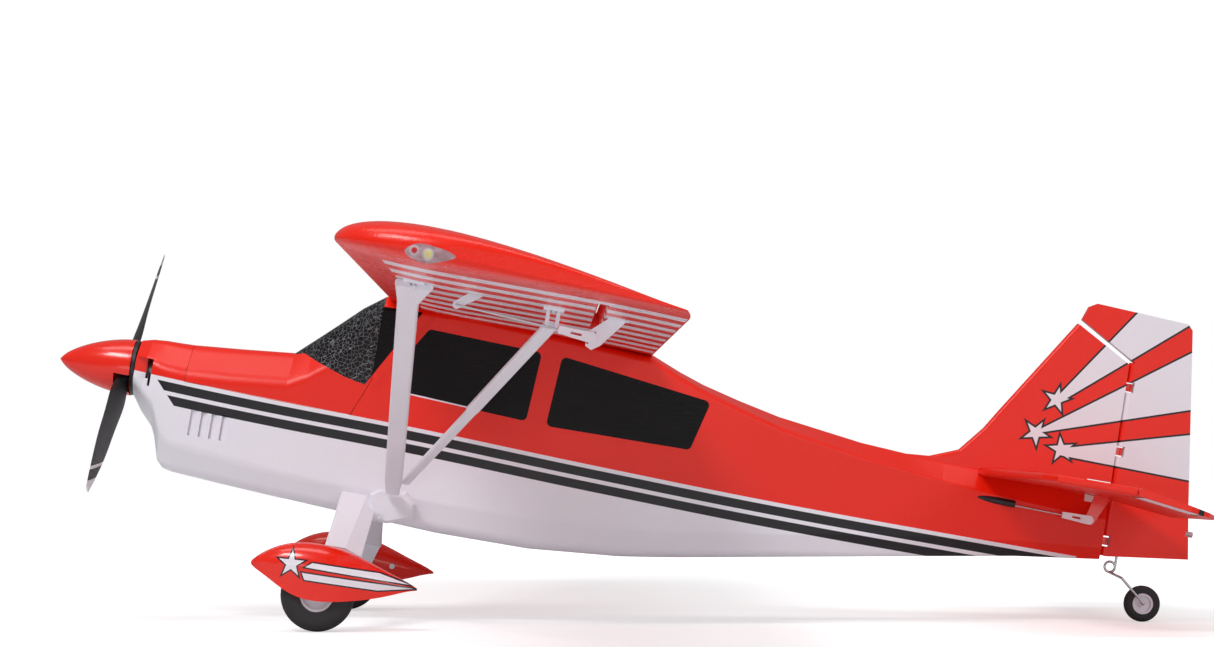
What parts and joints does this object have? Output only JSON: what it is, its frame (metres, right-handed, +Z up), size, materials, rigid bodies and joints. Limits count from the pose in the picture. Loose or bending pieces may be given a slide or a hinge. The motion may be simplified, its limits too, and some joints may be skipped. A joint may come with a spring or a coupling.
{
  "type": "model aeroplane",
  "caption": "Strut-braced high-wing model aeroplane with a tail wheel, a propeller, hinged control surfaces and their linkages, and a lift-off battery hatch.",
  "frame": {"origin": "on the ground below the middle of the aeroplane's overall length and span, as it stands on its three wheels", "axes": "+X towards the nose, +Y to port along the wing, +Z up; the aeroplane stands nose up on its tail wheel"},
  "size_m": [0.8738, 1.2, 0.2879],
  "materials": {
    "painted_foam_red": "painted moulded bead foam, satin",
    "painted_foam_white": "moulded bead foam, satin",
    "black_film": "gloss black over bead texture",
    "red_plastic": "gloss moulded",
    "white_nylon": "moulded nylon",
    "black_nylon": "moulded nylon",
    "prop_plastic": "satin black",
    "tyre_rubber": "soft foam rubber",
    "steel_wire": "plain wire",
    "motor_metal": "turned and anodised",
    "clear_lens": "clear moulded",
    "plywood": "birch plywood",
    "carbon_tube": "pultruded carbon",
    "battery_wrap": "shrink wrap",
    "electronics_case": "shrink wrap and moulded case",
    "bracket_metal": "pressed"
  },
  "bodies": {
    "airframe": {"battery": "battery_wrap", "cabin_windows": "black_film", "cowl": "red_plastic", "fin": "painted_foam_red", "front_strut_left": "white_nylon", "front_strut_right": "white_nylon", "fuselage": "painted_foam_white", "gear_leg_left": "painted_foam_white", "gear_leg_right": "painted_foam_white", "main_axles": "steel_wire", "motor_mount": "plywood", "motor_stator": "motor_metal", "pushrod_sleeves": "black_nylon", "rear_strut_left": "white_nylon", "rear_strut_right": "white_nylon", "receiver": "electronics_case", "screws": "steel_wire", "servos": "electronics_case", "speed_controller": "electronics_case", "strut_brackets": "bracket_metal", "strut_roots": "white_nylon", "surface_hinges": "red_plastic", "tailplane": "painted_foam_red", "wheel_pant_left": "red_plastic", "wheel_pant_right": "red_plastic", "wing_left": "painted_foam_red", "wing_right": "painted_foam_red", "wing_tip_lights": "clear_lens", "wing_tube": "carbon_tube"},
    "propeller_group": {"propeller": "prop_plastic", "spinner": "red_plastic", "spinner_backplate": "black_nylon", "propeller_shaft": "steel_wire", "motor_bell": "motor_metal"},
    "hatch": {"battery_hatch": "painted_foam_red", "windshield": "black_film"},
    "left_main_wheel": {"main_tyre_left": "tyre_rubber", "main_hub_left": "white_nylon"},
    "right_main_wheel": {"main_tyre_right": "tyre_rubber", "main_hub_right": "white_nylon"},
    "rudder_group": {"rudder": "painted_foam_red", "rudder_horn": "white_nylon", "rudder_light": "clear_lens", "tail_wheel_spring": "steel_wire"},
    "tail_wheel": {"tail_tyre": "tyre_rubber", "tail_hub": "white_nylon"},
    "elevator_group": {"elevator": "painted_foam_red", "elevator_horn": "red_plastic"},
    "left_aileron": {"aileron_left": "painted_foam_red", "aileron_horn_left": "white_nylon"},
    "right_aileron": {"aileron_right": "painted_foam_red", "aileron_horn_right": "white_nylon"},
    "left_aileron_arm": {"aileron_servo_arm_left": "black_nylon"},
    "left_aileron_rod": {"aileron_pushrod_left": "steel_wire"},
    "right_aileron_arm": {"aileron_servo_arm_right": "black_nylon"},
    "right_aileron_rod": {"aileron_pushrod_right": "steel_wire"},
    "elevator_arm": {"elevator_servo_arm": "black_nylon"},
    "elevator_rod": {"elevator_pushrod": "steel_wire"},
    "rudder_arm": {"rudder_servo_arm": "black_nylon"},
    "rudder_rod": {"rudder_pushrod": "steel_wire"}
  },
  "joints": [
    {"name": "propeller_spin", "type": "hinge", "parent": "airframe", "child": "propeller_group", "pos_m": [0.37947, 0, 0.19218], "axis": [0.9926, 0, 0.1215], "continuous": true},
    {"name": "hatch_lift", "type": "slide", "parent": "airframe", "child": "hatch", "axis": [-0.1612, 0, 0.9869], "range_m": [0, 0.08]},
    {"name": "left_wheel_spin", "type": "hinge", "parent": "airframe", "child": "left_main_wheel", "pos_m": [0.22621, 0.14, 0.0263], "axis": [0, 1, 0], "continuous": true},
    {"name": "right_wheel_spin", "type": "hinge", "parent": "airframe", "child": "right_main_wheel", "pos_m": [0.22621, -0.14, 0.0263], "axis": [0, 1, 0], "continuous": true},
    {"name": "rudder_swing", "type": "hinge", "parent": "airframe", "child": "rudder_group", "pos_m": [-0.37059, 0, 0.06966], "axis": [-0.1612, 0, 0.9869], "range_deg": [-25, 25]},
    {"name": "tail_wheel_spin", "type": "hinge", "parent": "rudder_group", "child": "tail_wheel", "pos_m": [-0.39623, 0, 0.0139], "axis": [0, 1, 0], "continuous": true},
    {"name": "elevator_swing", "type": "hinge", "parent": "airframe", "child": "elevator_group", "pos_m": [-0.35549, 0, 0.10131], "axis": [0, 1, 0], "range_deg": [-15, 20]},
    {"name": "left_aileron_swing", "type": "hinge", "parent": "airframe", "child": "left_aileron", "pos_m": [0.0313, 0.262, 0.22082], "axis": [0, 1, 0], "range_deg": [-20, 20]},
    {"name": "right_aileron_swing", "type": "hinge", "parent": "airframe", "child": "right_aileron", "pos_m": [0.0313, -0.262, 0.22082], "axis": [0, 1, 0], "range_deg": [-20, 20]},
    {"name": "elevator_arm_turn", "type": "hinge", "parent": "airframe", "child": "elevator_arm", "pos_m": [0.12611, -0.001, 0.19558], "axis": [0, 1, 0], "range_deg": [-15, 20]},
    {"name": "elevator_rod_level", "type": "hinge", "parent": "elevator_arm", "child": "elevator_rod", "pos_m": [0.12936, 0.002, 0.1726], "axis": [0, 1, 0], "range_deg": [-20, 15]},
    {"name": "rudder_arm_turn", "type": "hinge", "parent": "airframe", "child": "rudder_arm", "pos_m": [0.13242, 0.018, 0.15385], "axis": [-0.1612, 0, 0.9869], "range_deg": [-25, 25]},
    {"name": "rudder_rod_level", "type": "hinge", "parent": "rudder_arm", "child": "rudder_rod", "pos_m": [0.13194, -0.004, 0.15681], "axis": [-0.1612, 0, 0.9869], "range_deg": [-25, 25]},
    {"name": "left_aileron_arm_turn", "type": "hinge", "parent": "airframe", "child": "left_aileron_arm", "pos_m": [0.11487, 0.4019, 0.24086], "axis": [0, 1, 0], "range_deg": [-20, 20]},
    {"name": "left_aileron_rod_level", "type": "hinge", "parent": "left_aileron_arm", "child": "left_aileron_rod", "pos_m": [0.11981, 0.405, 0.21866], "axis": [0, 1, 0], "range_deg": [-20, 20]},
    {"name": "right_aileron_arm_turn", "type": "hinge", "parent": "airframe", "child": "right_aileron_arm", "pos_m": [0.11487, -0.4019, 0.24086], "axis": [0, 1, 0], "range_deg": [-20, 20]},
    {"name": "right_aileron_rod_level", "type": "hinge", "parent": "right_aileron_arm", "child": "right_aileron_rod", "pos_m": [0.11981, -0.405, 0.21866], "axis": [0, 1, 0], "range_deg": [-20, 20]}
  ],
  "couplings": [
    {"joint": "right_aileron_swing", "follows": "left_aileron_swing", "ratio": -1},
    {"joint": "left_aileron_arm_turn", "follows": "left_aileron_swing", "ratio": 1},
    {"joint": "left_aileron_rod_level", "follows": "left_aileron_swing", "ratio": -1},
    {"joint": "right_aileron_arm_turn", "follows": "left_aileron_swing", "ratio": -1},
    {"joint": "right_aileron_rod_level", "follows": "left_aileron_swing", "ratio": 1},
    {"joint": "elevator_arm_turn", "follows": "elevator_swing", "ratio": 1},
    {"joint": "elevator_rod_level", "follows": "elevator_swing", "ratio": -1},
    {"joint": "rudder_arm_turn", "follows": "rudder_swing", "ratio": 1},
    {"joint": "rudder_rod_level", "follows": "rudder_swing", "ratio": -1}
  ]
}
